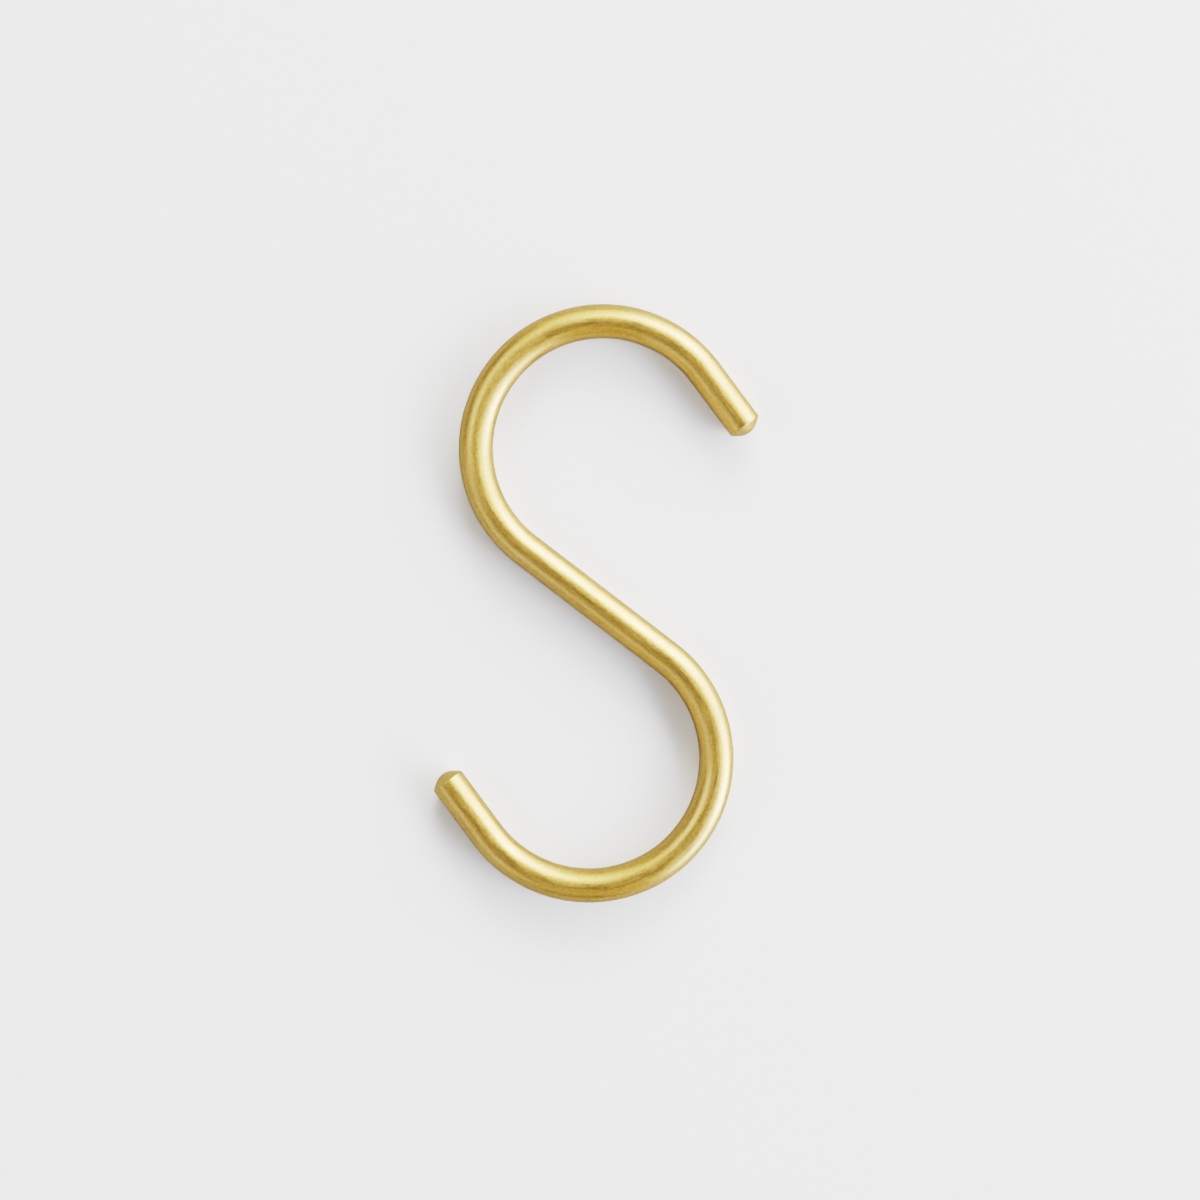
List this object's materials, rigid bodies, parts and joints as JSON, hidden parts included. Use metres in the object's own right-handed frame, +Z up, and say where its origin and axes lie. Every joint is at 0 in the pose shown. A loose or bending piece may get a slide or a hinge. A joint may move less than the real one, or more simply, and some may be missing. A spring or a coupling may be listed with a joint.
{
  "type": "s hook",
  "caption": "Round brass rod bent into an S, with turned, rounded tips, for hanging a thing from a rail, ring or chain.",
  "frame": {"origin": "centre of the S, at the level of the surface that the hook lies on", "axes": "+Y from the centre of the S to the centre of the upper bend, along the line that a hanging load pulls on; +Z up, out of the plane of the S; the shank leans from upper left (-X, +Y) to lower right (+X, -Y)"},
  "size_m": [0.0448, 0.0872, 0.005],
  "materials": {
    "brass": "satin, finely brushed along the rod"
  },
  "bodies": {
    "root": {"s_hook": "brass"}
  },
  "joints": []
}
